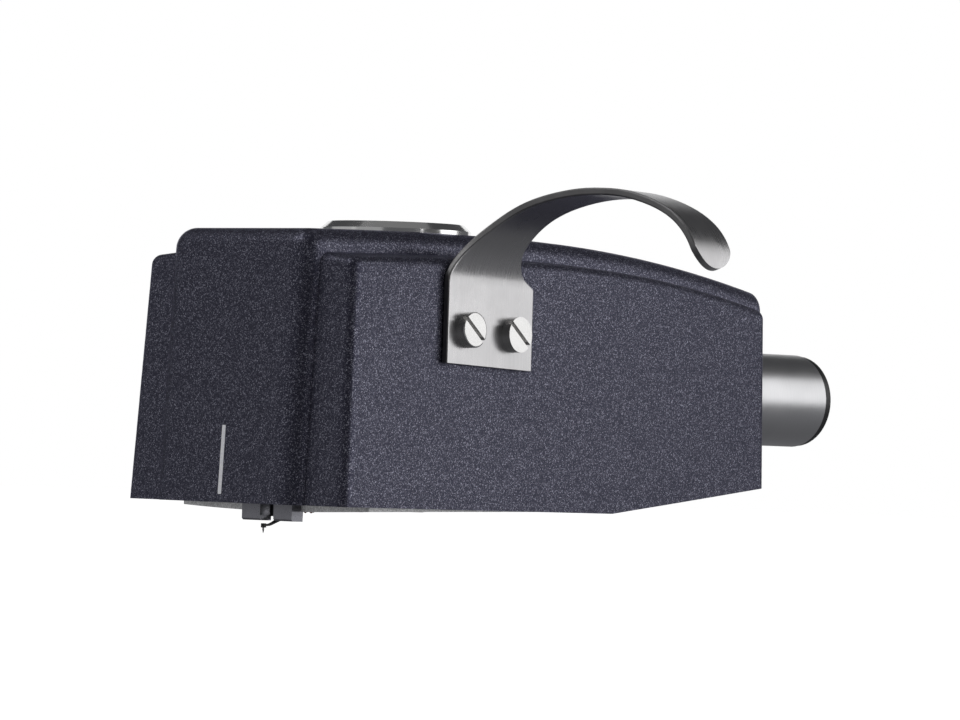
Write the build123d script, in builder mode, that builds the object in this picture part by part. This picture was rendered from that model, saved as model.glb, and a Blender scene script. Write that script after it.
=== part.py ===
# Moving-coil pickup cartridge built into a bayonet headshell.
# Frame: origin on the connector axis at the shell's rear seat face,
# +X rearward along the connector, +Z up, the finger lift on the -Y side.
import os
from math import cos, pi, radians, sin, sqrt

from build123d import *

os.makedirs("parts", exist_ok=True)

# ---------------------------------------------------------------- dimensions
# shell, outside
rim_z = -10.17            # underside rim plane
top_z = 14.0              # height to which the side walls are drawn before the roof cut
rake = 0.047              # front face leans back, mm per mm of height
draft = 0.035             # side walls lean in, mm per mm of height
spine_front_x = -57.06    # front face of the spine at the rim
spine_front_w = 8.43      # half width
spine_rear_w = 6.15
spine_corner_r = 2.1
spine_top_r = 1.75
shoulder_front_x = -55.58
shoulder_front_w = 12.78
shoulder_rear_w = 7.50
shoulder_bulge = 0.40     # sideways crown of each side wall
shoulder_corner_r = 1.00
shoulder_top_r = 0.90
step_h = 1.06             # the shoulders lie this far below the spine's roof at the centre line
shoulder_fall = 0.10      # and fall away outwards, mm per mm
roof = [(-62.0, 11.78), (-54.0, 11.99), (-45.0, 12.20), (-36.7, 12.27), (-28.7, 12.18),
        (-20.7, 11.84), (-10.4, 10.83), (-2.0, 9.49), (4.0, 8.24)]
tail_x = -21.55           # the underside rises from here to the rear face
tail_z = -7.64            # height of the underside at the rear face

# shell, inside
plate_ledge_z = -9.20
plate_x0, plate_x1 = -51.0, -22.20
plate_w0, plate_w1 = 10.85, 8.10     # half widths of the bottom plate, front and rear
pocket_x0, pocket_x1 = -53.70, -22.10
pocket_top = 7.60         # under the shoulders
spine_pocket_x0, spine_pocket_x1, spine_pocket_hw = -52.20, -23.20, 5.60
spine_pocket_top = 10.10
rear_pocket_x1 = -6.0
rear_pocket_hw = 4.9

# bayonet connector
tube_r = 4.0
tube_bore_r = 3.2
tube_len = 11.30
tube_root_r = 3.7
tube_root_len = 6.0
end_len = 0.88
end_r = 3.92
guide_x, guide_r, guide_h = 4.6, 0.8, 5.3
contact_pitch = 1.30      # half the spacing of the four pins
contact_r = 0.5

# finger lift, in a frame on the near side wall
lift_x = -38.5
lift_z = 5.0
lift_t = 0.60
lift_hw = 5.40
lift_edge_r = 0.15
lift_bottom = -3.55
lift_bend = 3.06          # the strip leaves the wall here
# the arch, as arcs of its back face: radius and angle turned
lift_arcs = [(5.30, 41.2), (9.50, 26.6), (17.05, 11.0), (22.75, 13.6), (15.9, 25.85), (6.93, 25.1),
             (5.40, 36.0)]
# half widths along the arch: distance from the bend, front, rear
lift_widths = [(0.0, 5.40, 5.40), (0.5, 5.33, 4.62), (1.0, 5.15, 3.98), (1.6, 4.85, 3.54),
               (2.3, 4.45, 3.22), (3.2, 3.92, 2.95), (4.4, 3.35, 2.80), (6.0, 2.80, 2.72),
               (8.0, 2.57, 2.60), (10.5, 2.49, 2.49), (13.0, 2.38, 2.38), (16.0, 2.23, 2.23),
               (19.0, 2.07, 2.07), (22.0, 2.06, 2.06), (24.0, 2.13, 2.13), (26.0, 2.25, 2.25),
               (27.6, 2.30, 2.30), (30.4, 2.30, 2.30)]
lift_tip_s, lift_tip_r = 27.75, 2.305
lift_screws = [(-2.96, -0.76), (2.76, -0.76)]
lift_screw_h = 0.90
lift_turn = 1.9           # the lift sits turned a little, its rear end low

# badge
badge_x, badge_r, badge_floor_z, badge_h = -38.1, 6.2, 12.10, 1.02

# generator
tilt = 24.0               # vertical tracking angle of the cantilever
pivot = (-46.2, 0.0, -9.6)
arm_len = 5.50            # pivot to the bend of the cantilever
arm_r0, arm_r1 = 0.25, 0.12          # it tapers over its front part
arm_bend = [(-51.10, -11.78), (-51.50, -11.90), (-51.90, -11.90)]    # centre line of its end
arm_end_t, arm_end_hw = 0.17, 0.13
seat_x, seat_z = -52.02, -11.95      # block that holds the stone
pole_front_x0, pole_front_x1 = -51.70, -50.44
pole_rear_x0, pole_rear_x1 = -44.50, -43.10
pole_hw = 2.90
pole_gap_hw = 0.78
pole_foot_z = -11.55
magnet_z0, magnet_z1 = -4.0, 2.0


def half_width(x):
    """Half width of the shoulders at the rim plane."""
    mid = shoulder_front_x / 2
    line = shoulder_rear_w + (shoulder_front_w - shoulder_rear_w) * x / shoulder_front_x
    return line + shoulder_bulge * (1 - ((x - mid) / mid) ** 2)


def wall_y(x, z):
    lean = rake * (z - rim_z) * x / shoulder_front_x
    return -(half_width(x - lean) - draft * (z - rim_z))


slope = (half_width(lift_x - 0.5) - half_width(lift_x + 0.5))
n_len = sqrt(1 + slope**2 + draft**2)
lift_n = Vector(slope / n_len, -1 / n_len, draft / n_len)      # out of the wall
lift_u = Vector(1, slope, 0).normalized()                      # along the wall, rearward
lift_u = (lift_u * cos(radians(lift_turn))
          - lift_n.cross(lift_u) * sin(radians(lift_turn))).normalized()
lift_b = lift_n.cross(lift_u)                                  # up the wall
lift_o = Vector(lift_x, wall_y(lift_x, lift_z), lift_z) + lift_n * 0.03
wall_plane = Plane(origin=lift_o, x_dir=lift_u, z_dir=lift_n)

axis_dir = Vector(-cos(radians(tilt)), 0, -sin(radians(tilt)))  # towards the stylus
axis_up = Vector(-sin(radians(tilt)), 0, cos(radians(tilt)))
axis_o = Vector(*pivot)


def lift_section(s):
    """Plane across the finger lift, s mm past the bend, y towards its back face."""
    out, up, a = 0.0, lift_bend, 0.0
    for r, turn in lift_arcs:
        step = min(s / r, radians(turn))
        out += r * (cos(a) - cos(a + step))
        up += r * (sin(a + step) - sin(a))
        a += step
        s -= r * step
    return Plane(origin=lift_o + lift_n * out + lift_b * up, x_dir=lift_u,
                 z_dir=lift_n * sin(a) + lift_b * cos(a))


def axis_plane(s):
    """Plane across the cantilever's axis, s mm ahead of the pivot, y up."""
    return Plane(origin=axis_o + axis_dir * s, x_dir=(0, 1, 0), z_dir=axis_dir)


def pocket_w(x):
    """Half width of the open underside, a hair wider than the bottom plate."""
    return plate_w1 + (plate_w0 - plate_w1) * (x - plate_x1) / (plate_x0 - plate_x1) + 0.10


# --------------------------------------------------------------------- shell
# hollow of the shell, with the same lean as the walls outside
with BuildPart() as pocket:
    for z in (rim_z - 1.0, pocket_top):
        fx = pocket_x0 + rake * (z - rim_z)
        din = draft * (z - rim_z)
        with BuildSketch(Plane.XY.offset(z)):
            with BuildLine():
                wf, wr = pocket_w(fx) - din, pocket_w(pocket_x1) - din
                Polyline((fx, -wf), (pocket_x1, -wr), (pocket_x1, wr), (fx, wf), close=True)
            make_face()
    loft(ruled=True)
    fillet(pocket.edges().filter_by(lambda e: abs(e.tangent_at(0.5).Z) > 0.9), 1.2)

with BuildPart() as spine:
    for z in (rim_z, top_z):
        fx = spine_front_x + rake * (z - rim_z)
        with BuildSketch(Plane.XY.offset(z)):
            with BuildLine():
                Polyline((fx, -spine_front_w), (0, -spine_rear_w), (0, spine_rear_w),
                         (fx, spine_front_w), close=True)
            make_face()
    loft(ruled=True)
    fillet(spine.edges().filter_by(lambda e: abs(e.tangent_at(0.5).Z) > 0.9
                                   and e.center().X < -40), spine_corner_r)
    with BuildSketch(Plane.XZ.offset(-40)):
        with BuildLine():
            Spline(*roof)
            Polyline(roof[-1], (4.0, 30.0), (-62.0, 30.0), roof[0])
        make_face()
    extrude(amount=80, mode=Mode.SUBTRACT)
    rim_edges = spine.faces().sort_by(Axis.Z)[-1].edges()
    fillet(rim_edges.filter_by(lambda e: e.center().X < -1.0), spine_top_r)

with BuildPart() as shell:
    for z in (rim_z, top_z):
        fx = shoulder_front_x + rake * (z - rim_z)
        din = draft * (z - rim_z)
        mx = (fx + 0) / 2
        wm = half_width(shoulder_front_x / 2) - din
        with BuildSketch(Plane.XY.offset(z)):
            with BuildLine():
                wf, wr = shoulder_front_w - din, shoulder_rear_w - din
                Line((fx, wf), (fx, -wf))
                ThreePointArc((fx, -wf), (mx, -wm), (0, -wr))
                Line((0, -wr), (0, wr))
                ThreePointArc((0, wr), (mx, wm), (fx, wf))
            make_face()
    loft(ruled=True)
    fillet(shell.edges().filter_by(lambda e: abs(e.tangent_at(0.5).Z) > 0.9
                                   and e.center().X < -40), shoulder_corner_r)
    for side in (1, -1):
        with BuildSketch(Plane.XZ):
            with BuildLine():
                Spline(*[(x, z - step_h) for x, z in roof])
                Polyline((roof[-1][0], roof[-1][1] - step_h), (4.0, 30.0), (-62.0, 30.0),
                         (roof[0][0], roof[0][1] - step_h))
            make_face()
        extrude(amount=40, dir=(0, side, -shoulder_fall), mode=Mode.SUBTRACT)
    fillet(shell.edges().filter_by(lambda e: e.center().Z > 7.0 and abs(e.center().Y) > 2.0)
           + shell.edges().filter_by(lambda e: abs(e.tangent_at(0.5).Z) > 0.9
                                     and e.center().X > -1.0), shoulder_top_r)
    add(spine.part)
    # rising tail of the underside
    with BuildSketch(Plane.XZ):
        Polygon((tail_x, rim_z), (2.0, tail_z + 2.0 * (tail_z - rim_z) / -tail_x),
                (2.0, -14.0), (tail_x, -14.0), align=None)
    extrude(amount=40, both=True, mode=Mode.SUBTRACT)
    # open underside, hollow under the spine, rear pocket, tube bore
    add(pocket.part, mode=Mode.SUBTRACT)
    with BuildSketch(Plane.XY.offset(pocket_top - 1.0)):
        with Locations(((spine_pocket_x0 + spine_pocket_x1) / 2, 0)):
            RectangleRounded(spine_pocket_x1 - spine_pocket_x0, 2 * spine_pocket_hw, 1.0)
    extrude(amount=spine_pocket_top - pocket_top + 1.0, mode=Mode.SUBTRACT)
    with BuildSketch(Plane.XY.offset(-5.8)):
        with Locations(((pocket_x1 - 2 + rear_pocket_x1) / 2, 0)):
            Rectangle(rear_pocket_x1 - pocket_x1 + 2, 2 * rear_pocket_hw)
    extrude(amount=13.2, mode=Mode.SUBTRACT)
    with Locations(Plane(origin=(0.0, 0, 0), z_dir=(1, 0, 0))):
        Cylinder(tube_root_r, 8, align=(Align.CENTER, Align.CENTER, Align.MAX), mode=Mode.SUBTRACT)
    # posts that take the bottom plate's screws
    plate_screws = [(-44.0, -8.25), (-44.0, 8.25), (-26.2, -6.30), (-26.2, 6.30)]
    with BuildSketch(Plane.XY.offset(plate_ledge_z)):
        with Locations(*plate_screws):
            Circle(1.75)
    extrude(amount=pocket_top + 0.5 - plate_ledge_z)
    with BuildSketch(Plane.XY.offset(plate_ledge_z)):
        with Locations(*plate_screws):
            Circle(0.80)
    extrude(amount=6.0, mode=Mode.SUBTRACT)
    # holes for the finger lift's screws
    with BuildSketch(wall_plane.offset(1)):
        with Locations(*lift_screws):
            Circle(0.80)
    extrude(amount=-4.4, mode=Mode.SUBTRACT)
    # flat seat for the badge
    with BuildSketch(Plane.XY.offset(badge_floor_z)):
        with Locations((badge_x, 0)):
            Circle(badge_r + 0.06)
    extrude(amount=4, mode=Mode.SUBTRACT)
shell.part.label = "shell"
export_step(shell.part, "parts/shell.step")

# --------------------------------------------------------------------- badge
with BuildPart() as badge:
    with BuildSketch(Plane(origin=(badge_x, 0, badge_floor_z), x_dir=(1, 0, 0), z_dir=(0, -1, 0))):
        with BuildLine():
            Polyline((0, 0), (badge_r, 0), (badge_r, 0.48), (badge_r - 0.60, badge_h),
                     (badge_r - 1.30, badge_h), (badge_r - 1.45, badge_h - 0.18),
                     (0, badge_h - 0.18), close=True)
        make_face()
    revolve(axis=Axis((badge_x, 0, 0), (0, 0, 1)))
badge.part.label = "badge"
export_step(badge.part, "parts/badge.step")

# -------------------------------------------------------------- bottom plate
with BuildPart() as bottom_plate:
    for x, w, z_edge, z_mid in ((plate_x0, plate_w0, -10.50, -10.78),
                                (plate_x1, plate_w1, -10.09, -10.16)):
        with BuildSketch(Plane(origin=(x, 0, 0), x_dir=(0, 1, 0), z_dir=(1, 0, 0))):
            with BuildLine():
                Polyline((-w, z_edge), (-w, plate_ledge_z), (w, plate_ledge_z), (w, z_edge))
                ThreePointArc((w, z_edge), (0, z_mid), (-w, z_edge))
            make_face()
    loft(ruled=True)
    fillet(bottom_plate.edges().filter_by(Axis.Z).group_by(Axis.X)[0], 0.4)
    fillet(bottom_plate.edges().filter_by(Axis.Z).filter_by(lambda e: e.center().X > -30), 1.3)
    # window for the generator, open to the front
    with BuildSketch(Plane.XY.offset(-12)):
        with Locations(((-54.0 - 42.40) / 2, 0)):
            RectangleRounded(11.60, 6.5, 0.6)
    extrude(amount=4, mode=Mode.SUBTRACT)
    # countersunk holes
    generator_screws_xy = [(-47.4, -4.75), (-47.4, 4.75)]
    for x, y in plate_screws + generator_screws_xy:
        face = -10.17 if x > -30 else (-10.46 if x > -46 else -10.62)
        with BuildSketch(Plane(origin=(x, y, 0), x_dir=(1, 0, 0), z_dir=(0, -1, 0))):
            with BuildLine():
                Polyline((0, -12), (1.43, -12), (1.43, face), (0.83, face + 0.60), (0.83, -8.5),
                         (0, -8.5), close=True)
            make_face()
        revolve(axis=Axis((x, y, 0), (0, 0, 1)), mode=Mode.SUBTRACT)
bottom_plate.part.label = "bottom_plate"
export_step(bottom_plate.part, "parts/bottom_plate.step")


def countersunk_screw(x, y, face, length):
    """Slotted countersunk screw pointing up, head face at the given height."""
    with BuildPart() as one:
        with BuildSketch(Plane(origin=(x, y, 0), x_dir=(1, 0, 0), z_dir=(0, -1, 0))):
            with BuildLine():
                Polyline((0, face), (1.38, face), (0.78, face + 0.60), (0.78, face + length),
                         (0, face + length), close=True)
            make_face()
        revolve(axis=Axis((x, y, 0), (0, 0, 1)))
        with Locations((x, y, face)):
            Box(4, 0.36, 0.60, rotation=(0, 0, 20 + 7 * x + 3 * y), mode=Mode.SUBTRACT)
    return one.part


with BuildPart() as bottom_plate_screws:
    for x, y in plate_screws:
        add(countersunk_screw(x, y, -10.17 if x > -30 else -10.46, 5.6))
bottom_plate_screws.part.label = "bottom_plate_screws"
export_step(bottom_plate_screws.part, "parts/bottom_plate_screws.step")

with BuildPart() as generator_screws:
    for x, y in generator_screws_xy:
        add(countersunk_screw(x, y, -10.62, 5.2))
generator_screws.part.label = "generator_screws"
export_step(generator_screws.part, "parts/generator_screws.step")

# --------------------------------------------------------------- finger lift
with BuildPart() as finger_lift:
    # plate against the wall
    with BuildSketch(lift_section(0)):
        with Locations((0, -lift_t / 2)):
            RectangleRounded(2 * lift_hw, lift_t, lift_edge_r)
    extrude(amount=lift_bottom - lift_bend)
    # neck, arch and paddle
    for s, front, rear in lift_widths:
        with BuildSketch(lift_section(s)):
            with Locations(((rear - front) / 2, -lift_t / 2)):
                RectangleRounded(front + rear, lift_t, lift_edge_r)
    loft()
    # round end, cut square to the strip
    tip_o = lift_section(lift_tip_s).origin
    tip_dir = (lift_section(lift_tip_s + lift_tip_r).origin - tip_o).normalized()
    with BuildSketch(Plane(origin=tip_o, x_dir=lift_u, z_dir=lift_u.cross(tip_dir))):
        Rectangle(6, 4, align=(Align.CENTER, Align.MIN))
        Circle(lift_tip_r, mode=Mode.SUBTRACT)
    extrude(amount=2, both=True, mode=Mode.SUBTRACT)
    with BuildSketch(wall_plane):
        with Locations(*lift_screws):
            Circle(0.88)
    extrude(amount=3, both=True, mode=Mode.SUBTRACT)
finger_lift.part.label = "finger_lift"
export_step(finger_lift.part, "parts/finger_lift.step")

with BuildPart() as finger_lift_screws:
    with BuildSketch(wall_plane.offset(lift_t)):
        with Locations(*lift_screws):
            Circle(1.45)
    extrude(amount=lift_screw_h)
    fillet(finger_lift_screws.edges().filter_by(GeomType.CIRCLE).group_by(Axis.Y)[0], 0.14)
    with BuildSketch(wall_plane.offset(lift_t)):
        with Locations(*lift_screws):
            Circle(0.78)
    extrude(amount=-lift_t - 2.4)
    with BuildSketch(wall_plane.offset(lift_t + lift_screw_h)):
        with Locations(*lift_screws):
            Rectangle(4, 0.36, rotation=-38)
    extrude(amount=-0.50, mode=Mode.SUBTRACT)
finger_lift_screws.part.label = "finger_lift_screws"
export_step(finger_lift_screws.part, "parts/finger_lift_screws.step")

# ---------------------------------------------------------- bayonet connector
with BuildPart() as connector_sleeve:
    with BuildSketch(Plane.XZ):
        with BuildLine():
            # the land in front of the guide pin is straight, the root behind it hardly tapers
            Polyline((-tube_root_len, tube_bore_r), (-tube_root_len, tube_root_r), (0, tube_root_r),
                     (0, tube_r - 0.17), (5.8, tube_r), (tube_len, tube_r),
                     (tube_len, tube_bore_r), close=True)
        make_face()
    revolve(axis=Axis.X)
    with Locations((guide_x, 0, 0)):
        Cylinder(guide_r, 10, align=(Align.CENTER, Align.CENTER, Align.MIN), mode=Mode.SUBTRACT)
connector_sleeve.part.label = "connector_sleeve"
export_step(connector_sleeve.part, "parts/connector_sleeve.step")

with BuildPart() as guide_pin:
    with BuildSketch(Plane.XY.offset(tube_bore_r + 0.08)):
        with Locations((guide_x, 0)):
            Circle(guide_r - 0.01)
    extrude(amount=guide_h - tube_bore_r - 0.08)
    fillet(guide_pin.edges().sort_by(Axis.Z)[-1], 0.25)
guide_pin.part.label = "guide_pin"
export_step(guide_pin.part, "parts/guide_pin.step")

contact_spots = {"right_signal": (-1, 1), "left_signal": (1, 1),
                 "right_ground": (-1, -1), "left_ground": (1, -1)}
with BuildPart() as contact_insulator:
    with BuildSketch(Plane(origin=(tube_len, 0, 0), z_dir=(1, 0, 0))):
        Circle(end_r)
    extrude(amount=end_len)
    fillet(contact_insulator.edges().sort_by(Axis.X)[-1], 0.30)
    with BuildSketch(Plane(origin=(tube_len, 0, 0), z_dir=(1, 0, 0))):
        Circle(tube_bore_r - 0.02)
    extrude(amount=-6.5)
    with BuildSketch(Plane(origin=(0, 0, 0), x_dir=(0, 1, 0), z_dir=(1, 0, 0))):
        with Locations(*[(y * contact_pitch, z * contact_pitch) for y, z in contact_spots.values()]):
            Circle(contact_r + 0.01)
    extrude(amount=20, mode=Mode.SUBTRACT)
contact_insulator.part.label = "contact_insulator"
export_step(contact_insulator.part, "parts/contact_insulator.step")

for name, (y, z) in contact_spots.items():
    with BuildPart() as contact:
        with BuildSketch(Plane(origin=(2.6, y * contact_pitch, z * contact_pitch), z_dir=(1, 0, 0))):
            Circle(contact_r)
        extrude(amount=tube_len + end_len + 0.75 - 2.6)
        fillet(contact.edges().sort_by(Axis.X)[-1], 0.42)
    contact.part.label = "contact_pin_" + name
    export_step(contact.part, "parts/contact_pin_" + name + ".step")

# ----------------------------------------------------------------- generator
with BuildPart() as front_pole:
    with BuildSketch(Plane(origin=(pole_front_x0, 0, 0), x_dir=(0, 1, 0), z_dir=(1, 0, 0))):
        with Locations((0, (pole_foot_z + magnet_z1) / 2)):
            Rectangle(2 * pole_hw, magnet_z1 - pole_foot_z)
        with Locations((0, pole_foot_z)):
            Rectangle(2 * pole_gap_hw, 3.2, mode=Mode.SUBTRACT)
        with Locations((0, pole_foot_z + 1.6)):
            Circle(pole_gap_hw, mode=Mode.SUBTRACT)
    extrude(amount=pole_front_x1 - pole_front_x0)
    chamfer(front_pole.edges().filter_by(Axis.Y).group_by(Axis.Z)[0].group_by(Axis.X)[0], 0.15)
front_pole.part.label = "front_pole"
export_step(front_pole.part, "parts/front_pole.step")

with BuildPart() as magnet:
    with BuildSketch(Plane.XY.offset(magnet_z0)):
        with Locations(((pole_front_x1 + pole_rear_x0) / 2, 0)):
            Rectangle(pole_rear_x0 - pole_front_x1, 6.2)
    extrude(amount=magnet_z1 - magnet_z0)
    chamfer(magnet.edges().filter_by(Axis.X), 0.25)
magnet.part.label = "magnet"
export_step(magnet.part, "parts/magnet.step")

with BuildPart() as rear_pole:
    with BuildSketch(Plane(origin=(pole_rear_x0, 0, 0), x_dir=(0, 1, 0), z_dir=(1, 0, 0))):
        with Locations((0, (-10.0 + magnet_z1) / 2)):
            Rectangle(2 * pole_hw, magnet_z1 + 10.0)
    extrude(amount=pole_rear_x1 - pole_rear_x0)
    with BuildSketch(axis_plane(-0.80)):
        Circle(1.10)
    extrude(amount=-2.0)
    with BuildSketch(axis_plane(0)):
        Circle(0.42)
    extrude(amount=-8, mode=Mode.SUBTRACT)
    # tapped hole for the grub screw, from the rear lower edge up to the tube
    with Locations(Plane(origin=(-43.8, 0, -8.58), z_dir=(0, 1, 0))):
        Cylinder(0.50, 6, align=(Align.CENTER, Align.CENTER, Align.MIN), mode=Mode.SUBTRACT)
rear_pole.part.label = "rear_pole"
export_step(rear_pole.part, "parts/rear_pole.step")

with BuildPart() as suspension_grub_screw:
    with BuildSketch(Plane(origin=(-43.8, 0.46, -8.58), z_dir=(0, 1, 0))):
        Circle(0.48)
    extrude(amount=2.2)
    with Locations((-43.8, 2.66, -8.58)):
        Box(0.22, 0.5, 2.0, mode=Mode.SUBTRACT)
suspension_grub_screw.part.label = "suspension_grub_screw"
export_step(suspension_grub_screw.part, "parts/suspension_grub_screw.step")

with BuildPart() as suspension_tube:
    with BuildSketch(axis_plane(-0.62)):
        Circle(0.40)
        Circle(0.13, mode=Mode.SUBTRACT)
    extrude(amount=-3.6)
suspension_tube.part.label = "suspension_tube"
export_step(suspension_tube.part, "parts/suspension_tube.step")

with BuildPart() as suspension_wire:
    with BuildSketch(axis_plane(0.70)):
        Circle(0.10)
    extrude(amount=-4.7)
suspension_wire.part.label = "suspension_wire"
export_step(suspension_wire.part, "parts/suspension_wire.step")

with BuildPart() as damper_ring:
    with BuildSketch(axis_plane(-0.56)):
        Circle(1.05)
        Circle(0.30, mode=Mode.SUBTRACT)
    extrude(amount=0.54)
    fillet(damper_ring.edges().filter_by(GeomType.CIRCLE).filter_by(lambda e: e.radius > 1), 0.12)
damper_ring.part.label = "damper_ring"
export_step(damper_ring.part, "parts/damper_ring.step")

# cross-shaped iron former, its arms at 45 degrees, bored for wire and cantilever
with BuildPart() as armature:
    with BuildSketch(axis_plane(0.42)):
        Rectangle(1.86, 0.54, rotation=45)
        Rectangle(1.86, 0.54, rotation=-45)
        Circle(0.50)
        Circle(0.25, mode=Mode.SUBTRACT)
    extrude(amount=0.72)
armature.part.label = "armature"
export_step(armature.part, "parts/armature.step")

for name, turn in (("coil_left", 45), ("coil_right", -45)):
    with BuildPart() as coil:
        for side in (1, -1):
            away = side * 0.67
            spot = (away * cos(radians(turn)), away * sin(radians(turn)))
            with BuildSketch(axis_plane(0.20)):
                with Locations(spot):
                    RectangleRounded(0.40, 0.78, 0.12, rotation=turn)
            extrude(amount=1.08)
        with BuildSketch(axis_plane(0.41)):
            Rectangle(4.0, 0.56, rotation=turn)
        extrude(amount=0.74, mode=Mode.SUBTRACT)
    coil.part.label = name
    export_step(coil.part, "parts/" + name + ".step")

with BuildPart() as cantilever:
    with BuildSketch(axis_plane(0.84)):
        Circle(arm_r0)
    extrude(amount=2.40)
    for r, at in ((arm_r0, 3.24), (arm_r1, arm_len)):
        with BuildSketch(axis_plane(at)):
            Circle(r)
    loft(ruled=True)
    # end bent level and pressed flat, with a drilled seat for the stone
    with BuildSketch(Plane.XZ):
        with BuildLine():
            Spline(*arm_bend)
        trace(line_width=arm_end_t)
    extrude(amount=arm_end_hw, both=True)
    with Locations((seat_x, 0, seat_z)):
        Box(0.34, 0.32, 0.35)
    fillet(cantilever.edges().filter_by(lambda e: e.center().X < seat_x - 0.16), 0.07)
    with BuildSketch(Plane(origin=(seat_x, 0, -11.0), z_dir=(0, 0, 1))):
        Circle(0.085)
    extrude(amount=-2, mode=Mode.SUBTRACT)
cantilever.part.label = "cantilever"
export_step(cantilever.part, "parts/cantilever.step")

with BuildPart() as stylus_tip:
    with BuildSketch(Plane(origin=(seat_x, 0, 0), x_dir=(1, 0, 0), z_dir=(0, -1, 0))):
        with BuildLine():
            Polyline((0, -11.80), (0.08, -11.80), (0.08, -12.30), (0.018, -12.57), (0, -12.58),
                     close=True)
        make_face()
    revolve(axis=Axis((seat_x, 0, 0), (0, 0, 1)))
stylus_tip.part.label = "stylus_tip"
export_step(stylus_tip.part, "parts/stylus_tip.step")

# block that clamps the magnet and poles and stands on the bottom plate
with BuildPart() as generator_bracket:
    with BuildSketch(Plane.XY.offset(plate_ledge_z)):
        with Locations(((-50.90 - 41.20) / 2, 0)):
            Rectangle(9.70, 11.60)
    extrude(amount=3.6 - plate_ledge_z)
    with BuildSketch(Plane.XY.offset(plate_ledge_z - 1)):
        with Locations(((-52.0 - 43.05) / 2, 0)):
            Rectangle(8.95, 6.30)
    extrude(amount=magnet_z1 + 0.05 - plate_ledge_z + 1, mode=Mode.SUBTRACT)
    with BuildSketch(Plane(origin=(-41.2, 0, -7.6), x_dir=(0, 1, 0), z_dir=(1, 0, 0))):
        Rectangle(2.6, 4.0)
    extrude(amount=-3, mode=Mode.SUBTRACT)
    with BuildSketch(Plane.XY.offset(plate_ledge_z)):
        with Locations(*generator_screws_xy):
            Circle(0.80)
    extrude(amount=4.4, mode=Mode.SUBTRACT)
    fillet(generator_bracket.edges().filter_by(Axis.Z).group_by(Axis.X)[-1], 0.6)
    # stop behind the front pole, with a slot for the cantilever
    for side in (-1, 1):
        with Locations((-50.22, side * (0.52 + 3.20) / 2, -8.60)):
            Box(0.36, 2.68, 1.60)
        with Locations((-50.22, side * (0.52 + 2.50) / 2, -10.20)):
            Box(0.36, 1.98, 2.00)
generator_bracket.part.label = "generator_bracket"
export_step(generator_bracket.part, "parts/generator_bracket.step")

# --------------------------------------------------- terminals and lead wires
terminal_z = -1.2
terminal_spots = {"right_signal": -2.55, "right_ground": -0.85, "left_ground": 0.85,
                  "left_signal": 2.55}
with BuildPart() as terminal_board:
    with BuildSketch(Plane(origin=(-41.2, 0, 0), x_dir=(0, 1, 0), z_dir=(1, 0, 0))):
        with Locations((0, terminal_z)):
            RectangleRounded(7.4, 2.6, 0.4)
        with Locations(*[(y, terminal_z) for y in terminal_spots.values()]):
            Circle(0.36, mode=Mode.SUBTRACT)
    extrude(amount=1.2)
terminal_board.part.label = "terminal_board"
export_step(terminal_board.part, "parts/terminal_board.step")

with BuildPart() as terminal_pins:
    for y in terminal_spots.values():
        with BuildSketch(Plane(origin=(-41.18, y, terminal_z), z_dir=(1, 0, 0))):
            Circle(0.35)
        extrude(amount=2.7)
terminal_pins.part.label = "terminal_pins"
export_step(terminal_pins.part, "parts/terminal_pins.step")

for name, (cy, cz) in contact_spots.items():
    ty = terminal_spots[name]
    py, pz = cy * contact_pitch, cz * contact_pitch
    lift_by = 3.6 if cz > 0 else -2.6
    points = [(-38.48, ty, terminal_z), (-34.0, ty, terminal_z),
              (-25.0, ty * 0.9 + 0.4 * cy, terminal_z + lift_by),
              (-14.0, 1.15 * py, 1.15 * pz + 0.35 * cz), (-5.0, py, pz), (2.60, py, pz)]
    with BuildPart() as lead:
        with BuildLine() as route:
            FilletPolyline(*points, radius=9.0)
        with BuildSketch(Plane(origin=points[0], z_dir=(1, 0, 0))):
            Circle(0.26)
        sweep(path=route.wires()[0])
    lead.part.label = "lead_wire_" + name
    export_step(lead.part, "parts/lead_wire_" + name + ".step")
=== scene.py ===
import math

import bmesh
import bpy
from mathutils import Matrix, Vector


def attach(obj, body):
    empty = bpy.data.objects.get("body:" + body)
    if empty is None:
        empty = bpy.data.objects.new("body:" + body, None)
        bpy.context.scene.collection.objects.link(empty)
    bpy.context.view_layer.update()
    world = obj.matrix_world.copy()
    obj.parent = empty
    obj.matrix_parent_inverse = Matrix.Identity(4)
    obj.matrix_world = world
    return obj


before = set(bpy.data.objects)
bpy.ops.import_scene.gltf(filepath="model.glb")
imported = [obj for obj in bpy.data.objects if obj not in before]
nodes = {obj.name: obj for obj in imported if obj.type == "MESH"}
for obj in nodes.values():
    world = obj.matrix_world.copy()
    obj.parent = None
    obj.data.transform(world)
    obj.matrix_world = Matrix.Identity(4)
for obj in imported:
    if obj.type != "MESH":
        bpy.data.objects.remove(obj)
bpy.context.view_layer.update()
scene = bpy.context.scene
MM = 0.001


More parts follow.
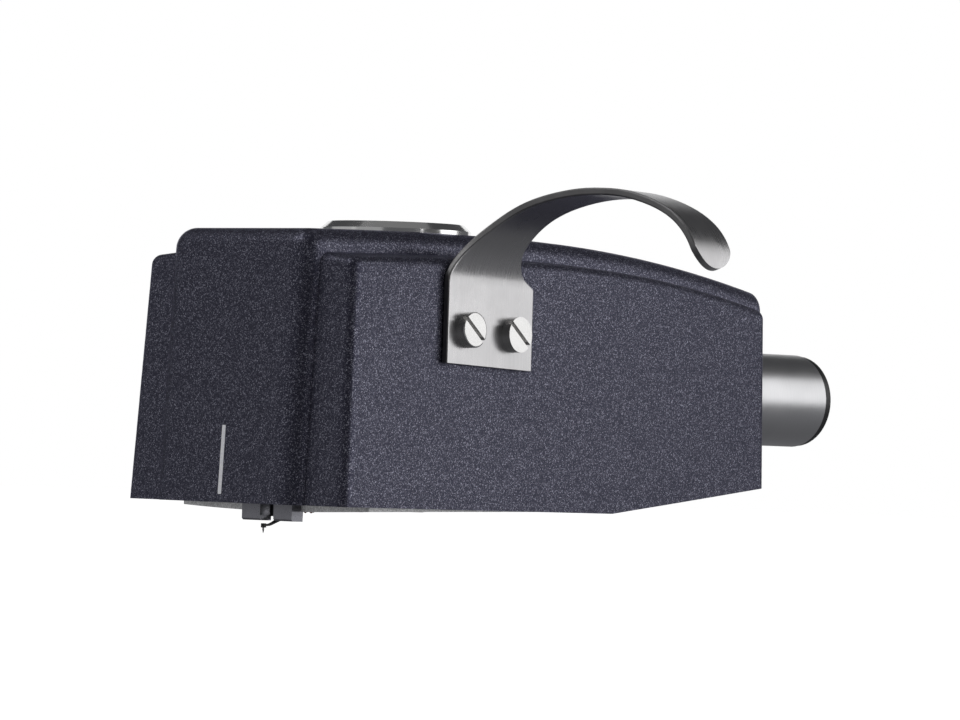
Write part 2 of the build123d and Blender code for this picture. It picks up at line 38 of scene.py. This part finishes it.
# ------------------------------------------------------------------ materials
class Mat:
    """A Principled material and short helpers to wire procedural detail into it."""

    def __init__(self, name, color, rough, metal=0.0, **fixed):
        self.mat = bpy.data.materials.new(name)
        self.mat.use_nodes = True
        self.nt = self.mat.node_tree
        self.shader = self.nt.nodes["Principled BSDF"]
        self.set("Base Color", (*color, 1.0))
        self.set("Roughness", rough)
        self.set("Metallic", metal)
        for key, value in fixed.items():
            self.set(key.replace("_", " "), value)
        self.mat.diffuse_color = (*color, 1.0)
        place = self.add("ShaderNodeTexCoord")
        self.coord, self.facing = place.outputs["Object"], place.outputs["Normal"]

    def set(self, key, value):
        self.shader.inputs[key].default_value = value

    def add(self, kind, **props):
        node = self.nt.nodes.new(kind)
        for key, value in props.items():
            setattr(node, key, value)
        return node

    def link(self, a, b):
        self.nt.links.new(a, b)

    def scaled(self, scale):
        m = self.add("ShaderNodeMapping")
        m.inputs["Scale"].default_value = scale
        self.link(self.coord, m.inputs["Vector"])
        return m.outputs["Vector"]

    def noise(self, size_mm, detail=3.0, rough=0.55, vector=None):
        """Noise whose features are about size_mm across."""
        n = self.add("ShaderNodeTexNoise")
        n.inputs["Scale"].default_value = 1000.0 / size_mm if vector is None else 1.0
        n.inputs["Detail"].default_value = detail
        n.inputs["Roughness"].default_value = rough
        self.link(self.coord if vector is None else vector, n.inputs["Vector"])
        return n.outputs["Fac"]

    def cells(self, size_mm, vector=None):
        v = self.add("ShaderNodeTexVoronoi")
        v.inputs["Scale"].default_value = 1000.0 / size_mm
        self.link(self.coord if vector is None else vector, v.inputs["Vector"])
        return v

    def ramp(self, fac, stops):
        r = self.add("ShaderNodeValToRGB")
        while len(r.color_ramp.elements) < len(stops):
            r.color_ramp.elements.new(0.5)
        for e, (pos, col) in zip(r.color_ramp.elements, stops):
            e.position = pos
            e.color = (col, col, col, 1) if isinstance(col, (int, float)) else (*col, 1)
        self.link(fac, r.inputs["Fac"])
        return r.outputs["Color"]

    def span(self, fac, lo, hi, out_lo, out_hi):
        m = self.add("ShaderNodeMapRange")
        for key, value in (("From Min", lo), ("From Max", hi), ("To Min", out_lo), ("To Max", out_hi)):
            m.inputs[key].default_value = value
        self.link(fac, m.inputs["Value"])
        return m.outputs["Result"]

    def math(self, op, a, b):
        m = self.add("ShaderNodeMath", operation=op)
        for i, x in enumerate((a, b)):
            if isinstance(x, (int, float)):
                m.inputs[i].default_value = x
            else:
                self.link(x, m.inputs[i])
        return m.outputs["Value"]

    def mix(self, fac, a, b):
        m = self.add("ShaderNodeMix", data_type="RGBA")
        for i, x in ((0, fac), (6, a), (7, b)):
            if isinstance(x, tuple):
                m.inputs[i].default_value = (*x, 1)
            elif isinstance(x, (int, float)):
                m.inputs[i].default_value = x
            else:
                self.link(x, m.inputs[i])
        return m.outputs[2]

    def along(self, direction):
        """Signed distance along a direction, as a value in mm."""
        d = self.add("ShaderNodeVectorMath", operation="DOT_PRODUCT")
        d.inputs[1].default_value = tuple(1000.0 * c for c in direction)
        self.link(self.coord, d.inputs[0])
        return d.outputs["Value"]

    def combine(self, x, y=0.0, z=0.0):
        c = self.add("ShaderNodeCombineXYZ")
        for i, v in enumerate((x, y, z)):
            if isinstance(v, (int, float)):
                c.inputs[i].default_value = v
            else:
                self.link(v, c.inputs[i])
        return c.outputs["Vector"]

    def to(self, socket, output):
        self.link(output, self.shader.inputs[socket])

    def bump(self, height, strength, distance_mm):
        b = self.add("ShaderNodeBump")
        b.inputs["Strength"].default_value = strength
        b.inputs["Distance"].default_value = distance_mm * MM
        self.link(height, b.inputs["Height"])
        if self.shader.inputs["Normal"].is_linked:
            self.link(self.shader.inputs["Normal"].links[0].from_socket, b.inputs["Normal"])
        self.to("Normal", b.outputs["Normal"])


def lacquer():
    """Dark blue-grey lacquer with a fine light metallic fleck and a slightly grained skin."""
    m = Mat("shell_lacquer", (0.012, 0.012, 0.020), 0.42, Specular_IOR_Level=0.6,
            Specular_Tint=(0.68, 0.68, 1.0, 1.0))
    # turned so that no face lies along the cells' grid
    turn = m.add("ShaderNodeMapping")
    turn.inputs["Rotation"].default_value = (0.61, 0.43, 0.82)
    m.link(m.coord, turn.inputs["Vector"])
    fine = m.cells(0.066, vector=turn.outputs["Vector"])
    chance = m.add("ShaderNodeSeparateColor")
    m.link(fine.outputs["Color"], chance.inputs["Color"])
    grain = m.ramp(chance.outputs["Red"], ((0.0, (0.007, 0.007, 0.0135)), (0.34, (0.011, 0.011, 0.0195)),
                                           (0.56, (0.036, 0.036, 0.050)), (0.78, (0.092, 0.092, 0.121)),
                                           (0.92, (0.20, 0.20, 0.25)), (1.0, (0.40, 0.40, 0.48))))
    big = m.cells(0.15, vector=turn.outputs["Vector"])
    chance2 = m.add("ShaderNodeSeparateColor")
    m.link(big.outputs["Color"], chance2.inputs["Color"])
    spark = m.math("MULTIPLY", m.span(chance2.outputs["Green"], 0.93, 0.98, 0.0, 1.0),
                   m.span(big.outputs["Distance"], 0.22, 0.36, 1.0, 0.0))
    m.to("Base Color", m.mix(spark, grain, (0.30, 0.30, 0.37)))
    m.to("Metallic", m.span(chance.outputs["Red"], 0.34, 0.60, 0.0, 0.68))
    m.to("Roughness", m.span(m.noise(0.4, 2.0), 0.3, 0.7, 0.38, 0.50))
    m.bump(m.noise(0.16, 2.0, 0.5), 0.35, 0.012)
    return m.mat


def brushed(name, color, rough, across, size_mm=0.05, depth=0.25, blotch=0.06):
    """Metal brushed along a strip: fine lines that change only across it, and sheared edge faces that are rougher
    and darker, their darker colour being painted shade.
    """
    m = Mat(name, color, rough, 1.0)
    a = m.along(across)
    p = m.add("ShaderNodeVectorMath", operation="SCALE")
    p.inputs["Scale"].default_value = 60.0
    m.link(m.coord, p.inputs[0])
    wob = m.add("ShaderNodeSeparateXYZ")
    m.link(p.outputs["Vector"], wob.inputs["Vector"])
    v = m.combine(m.math("MULTIPLY", a, 1.0 / size_mm), wob.outputs["Y"], wob.outputs["Z"])
    lines = m.noise(1.0, 4.0, 0.6, v)
    soft = m.noise(2.5, 3.0)
    low = tuple(c * 0.86 for c in color)
    face = m.mix(m.span(lines, 0.3, 0.7, 0.0, 1.0), low, color)
    turn = m.add("ShaderNodeVectorMath", operation="DOT_PRODUCT")
    turn.inputs[1].default_value = tuple(across)
    m.link(m.facing, turn.inputs[0])
    sheared_and_shaded_edge = m.span(m.math("ABSOLUTE", turn.outputs["Value"], 0.0), 0.55, 0.80, 0.0, 1.0)
    # painted shade: faces turned across the strip get a darker colour standing in for the shade on them; their
    # added roughness below is the real sheared finish
    shaded_edge_colour = m.mix(m.span(soft, 0.35, 0.65, 0.0, 1.0), tuple(c * 0.34 for c in color), tuple(c * 0.44 for c in color))
    m.to("Base Color", m.mix(sheared_and_shaded_edge, face, shaded_edge_colour))
    sheen = m.math("ADD", m.span(lines, 0.25, 0.75, rough - 0.05, rough + 0.07),
                   m.span(soft, 0.3, 0.7, -blotch / 2, blotch / 2))
    m.to("Roughness", m.math("ADD", sheen, m.math("MULTIPLY", sheared_and_shaded_edge, 0.14)))
    m.bump(lines, depth, 0.004)
    return m.mat


def turned(name, color, rough, axis=(1, 0, 0), pitch_mm=0.06, depth=0.2):
    """Turned metal: fine rings along an axis."""
    m = Mat(name, color, rough, 1.0)
    v = m.combine(m.math("MULTIPLY", m.along(axis), 1.0 / pitch_mm), 0.0, 0.0)
    lines = m.noise(1.0, 3.0, 0.6, v)
    soft = m.noise(1.5, 3.0)
    low = tuple(c * 0.88 for c in color)
    m.to("Base Color", m.mix(m.span(lines, 0.3, 0.7, 0.0, 1.0), low, color))
    m.to("Roughness", m.math("ADD", m.span(lines, 0.25, 0.75, rough - 0.04, rough + 0.06),
                             m.span(soft, 0.3, 0.7, -0.02, 0.02)))
    m.bump(lines, depth, 0.003)
    return m.mat


def grained(name, color, rough, metal, size_mm, contrast=0.25, depth=0.3, depth_mm=0.01, **fixed):
    """Blasted, cast or moulded surface: mottled at two scales."""
    m = Mat(name, color, rough, metal, **fixed)
    fine, wide = m.noise(size_mm, 2.0, 0.5), m.noise(size_mm * 9, 3.0)
    k = m.math("ADD", m.math("MULTIPLY", fine, 0.7), m.math("MULTIPLY", wide, 0.3))
    dark, light = (tuple(min(1.0, c * f) for c in color) for f in (1 - contrast, 1 + contrast))
    m.to("Base Color", m.mix(m.span(k, 0.3, 0.7, 0.0, 1.0), dark, light))
    m.to("Roughness", m.span(fine, 0.3, 0.7, max(0.02, rough - 0.07), rough + 0.07))
    m.bump(fine, depth, depth_mm)
    return m.mat


def polished(name, color, rough):
    m = Mat(name, color, rough, 1.0)
    haze = m.noise(3.0, 4.0)
    m.to("Base Color", m.mix(haze, tuple(c * 0.95 for c in color), color))
    m.to("Roughness", m.span(haze, 0.3, 0.7, rough * 0.7, rough * 1.5))
    m.bump(m.noise(0.6, 2.0), 0.02, 0.004)
    return m.mat


def wound(name, color):
    """Fine enamelled wire, wound: close ridges with a warm sheen, and the grooves between turns darkened as painted
    shade.
    """
    m = Mat(name, color, 0.32, 0.9, Coat_Weight=0.4)
    w = m.add("ShaderNodeTexWave", wave_type="BANDS", bands_direction="DIAGONAL")
    w.inputs["Scale"].default_value = 1000.0 / 0.12
    w.inputs["Distortion"].default_value = 0.6
    m.link(m.coord, w.inputs["Vector"])
    # painted shade: the colour darkens in the grooves between turns
    m.to("Base Color", m.mix(w.outputs["Fac"], tuple(c * 0.4 for c in color), color))
    m.bump(w.outputs["Fac"], 0.8, 0.02)
    return m.mat


def stone():
    m = Mat("stylus_diamond", (0.05, 0.05, 0.052), 0.08, 0.0, IOR=2.2)
    k = m.noise(0.12, 2.0)
    m.to("Base Color", m.mix(k, (0.010, 0.010, 0.011), (0.045, 0.044, 0.042)))
    m.to("Roughness", m.span(k, 0.3, 0.7, 0.04, 0.14))
    return m.mat


# directions of the finger lift, from its own flat back face
lift_across = Vector((0.9945, 0.0998, -0.0332)).normalized()

STEEL = (0.63, 0.61, 0.58)
looks = {
    "shell": lacquer(),
    "badge": polished("badge_polished", (0.80, 0.80, 0.79), 0.15),
    "bottom_plate": grained("plate_blasted", (0.76, 0.76, 0.77), 0.42, 0.8, 0.13, 0.48, 0.6, 0.02),
    "bottom_plate_screws": turned("screw_steel", STEEL, 0.26, (1, 0, 0), 0.09),
    "generator_screws": turned("screw_steel_b", STEEL, 0.26, (0, 1, 0), 0.09),
    "finger_lift": brushed("lift_steel", (0.475, 0.47, 0.475), 0.29, lift_across),
    "finger_lift_screws": turned("lift_screw_steel", (0.55, 0.545, 0.54), 0.22, lift_across, 0.07, 0.12),
    "connector_sleeve": turned("sleeve_turned", (0.56, 0.56, 0.57), 0.34, (1, 0, 0), 0.10),
    "guide_pin": turned("guide_steel", STEEL, 0.24, (0, 0, 1), 0.05),
    "contact_insulator": grained("insulator_black", (0.012, 0.012, 0.013), 0.42, 0.0, 0.2, 0.3, 0.2, 0.01),
    "front_pole": grained("pole_iron", (0.25, 0.25, 0.275), 0.33, 0.9, 0.10, 0.22, 0.35, 0.010),
    "rear_pole": grained("pole_iron_rear", (0.24, 0.24, 0.26), 0.34, 0.9, 0.12, 0.22, 0.3, 0.010),
    "magnet": grained("magnet_nickel", (0.50, 0.49, 0.46), 0.24, 1.0, 0.30, 0.10, 0.15, 0.006),
    "armature": grained("armature_iron", (0.34, 0.33, 0.33), 0.34, 0.95, 0.06, 0.2, 0.3, 0.006),
    "damper_ring": grained("damper_rubber", (0.020, 0.020, 0.022), 0.68, 0.0, 0.10, 0.35, 0.5, 0.010),
    "cantilever": grained("cantilever_alloy", (0.016, 0.016, 0.017), 0.36, 0.5, 0.05, 0.2, 0.2, 0.004),
    "stylus_tip": stone(),
    "suspension_wire": turned("suspension_steel", STEEL, 0.25, (0, 1, 0), 0.03),
    "suspension_tube": turned("suspension_brass", (0.70, 0.52, 0.24), 0.28, (1, 0, 0), 0.05),
    "suspension_grub_screw": turned("grub_steel", (0.30, 0.30, 0.31), 0.32, (0, 1, 0), 0.05, 0.5),
    "generator_bracket": grained("bracket_moulded", (0.030, 0.030, 0.034), 0.50, 0.0, 0.25, 0.3, 0.35, 0.015),
    "terminal_board": grained("terminal_laminate", (0.115, 0.062, 0.024), 0.55, 0.0, 0.18, 0.3, 0.3, 0.010),
    "terminal_pins": turned("terminal_gold", (0.86, 0.63, 0.27), 0.22, (1, 0, 0), 0.06),
    "coil_left": wound("coil_copper_left", (0.44, 0.16, 0.055)),
    "coil_right": wound("coil_copper_right", (0.44, 0.16, 0.055)),
}
gold = turned("contact_gold", (0.90, 0.67, 0.30), 0.20, (1, 0, 0), 0.08)
leads = {"left_signal": (0.80, 0.80, 0.77), "left_ground": (0.035, 0.085, 0.42),
         "right_signal": (0.55, 0.030, 0.022), "right_ground": (0.030, 0.26, 0.070)}
for key, color in leads.items():
    looks["contact_pin_" + key] = gold
    looks["lead_wire_" + key] = grained("lead_" + key, color, 0.42, 0.0, 0.30, 0.12, 0.15, 0.008)

for name, obj in nodes.items():
    obj.data.materials.clear()
    obj.data.materials.append(looks[name])


# ---------------------------------------------------------------- printed mark
def cue_mark():
    """The thin pale cue line on the front face, printed a little proud of the lacquer."""
    z0, z1, half, proud, corner = -9.51, -3.96, 0.205, 0.014, 0.07
    bm = bmesh.new()

    def at(y, z, out):
        x = -57.06 + 0.047 * (z + 10.17)
        return Vector((x - out, y, z + 0.047 * out)) * MM

    ring = []
    for cy, cz, a0 in ((half - corner, z1 - corner, 0), (corner - half, z1 - corner, 90),
                       (corner - half, z0 + corner, 180), (half - corner, z0 + corner, 270)):
        for i in range(7):
            a = math.radians(a0 + 15 * i)
            ring.append((cy + corner * math.cos(a), cz + corner * math.sin(a)))
    low = [bm.verts.new(at(y, z, -0.02)) for y, z in ring]
    mid = [bm.verts.new(at(y, z, proud * 0.55)) for y, z in ring]
    top = [bm.verts.new(at(y * (1 - 0.012 / half), z, proud)) for y, z in ring]
    n = len(ring)
    for a, b in ((low, mid), (mid, top)):
        for i in range(n):
            bm.faces.new((a[i], a[(i + 1) % n], b[(i + 1) % n], b[i]))
    bm.faces.new(top)
    bm.faces.new(list(reversed(low)))
    bmesh.ops.recalc_face_normals(bm, faces=bm.faces)
    mesh = bpy.data.meshes.new("cue_mark")
    bm.to_mesh(mesh)
    bm.free()
    obj = bpy.data.objects.new("cue_mark", mesh)
    scene.collection.objects.link(obj)
    m = Mat("cue_paint", (0.90, 0.90, 0.97), 0.42, 0.9)
    k = m.noise(0.16, 3.0)
    m.to("Base Color", m.mix(m.span(k, 0.35, 0.65, 0.0, 1.0), (0.86, 0.86, 0.93), (1.0, 1.0, 1.0)))
    m.bump(k, 0.3, 0.01)
    mesh.materials.append(m.mat)
    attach(obj, "cartridge")
    return obj


cue_mark()


# ---------------------------------------------------------------------- studio
def stage_floor():
    """Plain white floor: seen from above by the camera, clear from below, adding no light of its own."""
    s, z = 6.0, -0.060
    mesh = bpy.data.meshes.new("floor")
    mesh.from_pydata([(-s, -s, z), (s, -s, z), (s, s, z), (-s, s, z)], [], [(0, 1, 2, 3)])
    obj = bpy.data.objects.new("floor", mesh)
    scene.collection.objects.link(obj)
    mat = bpy.data.materials.new("floor_pale")
    mat.use_nodes = True
    b = mat.node_tree.nodes["Principled BSDF"]
    b.inputs["Base Color"].default_value = (0.9, 0.9, 0.9, 1)
    b.inputs["Roughness"].default_value = 0.9
    b.inputs["Emission Color"].default_value = (1, 1, 1, 1)
    b.inputs["Emission Strength"].default_value = 1.0
    t = mat.node_tree
    clear, below, pick = (t.nodes.new(k) for k in ("ShaderNodeBsdfTransparent", "ShaderNodeNewGeometry",
                                                    "ShaderNodeMixShader"))
    t.links.new(below.outputs["Backfacing"], pick.inputs[0])
    t.links.new(b.outputs[0], pick.inputs[1])
    t.links.new(clear.outputs[0], pick.inputs[2])
    t.links.new(pick.outputs[0], t.nodes["Material Output"].inputs["Surface"])
    mesh.materials.append(mat)
    obj.visible_diffuse = obj.visible_glossy = obj.visible_transmission = obj.visible_shadow = False


def soft_light(name, direction, distance, size, radiance):
    """Rectangular softbox aimed at the part, of the given radiance over its face."""
    data = bpy.data.lights.new(name, "AREA")
    data.shape = "RECTANGLE"
    data.size, data.size_y = size
    data.energy = math.pi * size[0] * size[1] * radiance
    obj = bpy.data.objects.new(name, data)
    scene.collection.objects.link(obj)
    d = Vector(direction).normalized()
    obj.location = Vector((-0.028, -0.004, 0.0)) + d * distance
    obj.rotation_euler = d.to_track_quat("Z", "Y").to_euler()
    obj.visible_camera = False
    return obj


stage_floor()
soft_light("light_right", (0.448, -0.842, 0.300), 0.50, (0.69, 0.42), 1.70)
soft_light("light_left", (-0.714, 0.700, 0.12), 0.55, (0.50, 0.50), 0.33)
soft_light("light_fill", (-1.0, 0.0, 0.06), 0.55, (0.50, 0.50), 0.24)
soft_light("light_back", (0.714, 0.700, 0.13), 0.80, (1.00, 0.42), 0.90)
soft_light("light_top", (-0.50, 0.32, 0.80), 0.60, (0.34, 0.34), 2.20)
soft_light("light_over", (0.0, 0.05, 1.0), 0.60, (0.60, 0.60), 0.14)

world = bpy.data.worlds.new("studio")
scene.world = world
world.use_nodes = True
wt = world.node_tree
seen = wt.nodes["Background"]
seen.inputs["Color"].default_value = (1, 1, 1, 1)
room = wt.nodes.new("ShaderNodeBackground")
direction = wt.nodes.new("ShaderNodeTexCoord")
height = wt.nodes.new("ShaderNodeSeparateXYZ")
wt.links.new(direction.outputs["Generated"], height.inputs["Vector"])
level = wt.nodes.new("ShaderNodeMapRange")
level.inputs["From Min"].default_value = -1.0
wt.links.new(height.outputs["Z"], level.inputs["Value"])
fall = wt.nodes.new("ShaderNodeValToRGB")
stops = ((0.0, 0.10), (0.15, 0.15), (0.33, 0.22), (0.50, 0.13), (0.65, 0.07), (1.0, 0.06))
while len(fall.color_ramp.elements) < len(stops):
    fall.color_ramp.elements.new(0.5)
for e, (pos, v) in zip(fall.color_ramp.elements, stops):
    e.position = pos
    e.color = (v * 0.97, v * 0.98, v * 1.03, 1)
wt.links.new(level.outputs["Result"], fall.inputs["Fac"])
wt.links.new(fall.outputs["Color"], room.inputs["Color"])
path = wt.nodes.new("ShaderNodeLightPath")
pick = wt.nodes.new("ShaderNodeMixShader")
wt.links.new(path.outputs["Is Camera Ray"], pick.inputs[0])
wt.links.new(room.outputs[0], pick.inputs[1])
wt.links.new(seen.outputs[0], pick.inputs[2])
wt.links.new(pick.outputs[0], wt.nodes["World Output"].inputs["Surface"])
scene.view_settings.view_transform = "Standard"
scene.view_settings.look = "None"

# ---------------------------------------------------------------------- camera
az, el, roll = (math.radians(a) for a in (-45.533, -0.825, 1.962))
back = Vector((math.sin(az) * math.cos(el), -math.cos(az) * math.cos(el), math.sin(el)))
right = Vector((math.cos(az), math.sin(az), 0.0))
up = back.cross(right)
r2 = right * math.cos(roll) + up * math.sin(roll)
u2 = up * math.cos(roll) - right * math.sin(roll)
cam = bpy.data.cameras.new("camera")
cam.sensor_fit = "HORIZONTAL"
cam.sensor_width = 36.0
cam.angle = math.radians(7.9668)
cam.clip_start, cam.clip_end = 0.01, 50.0
cam_obj = bpy.data.objects.new("camera", cam)
scene.collection.objects.link(cam_obj)
m = Matrix((r2, u2, back)).transposed().to_4x4()
m.translation = Vector((-0.43740, -0.40213, -0.00602))
cam_obj.matrix_world = m
scene.camera = cam_obj
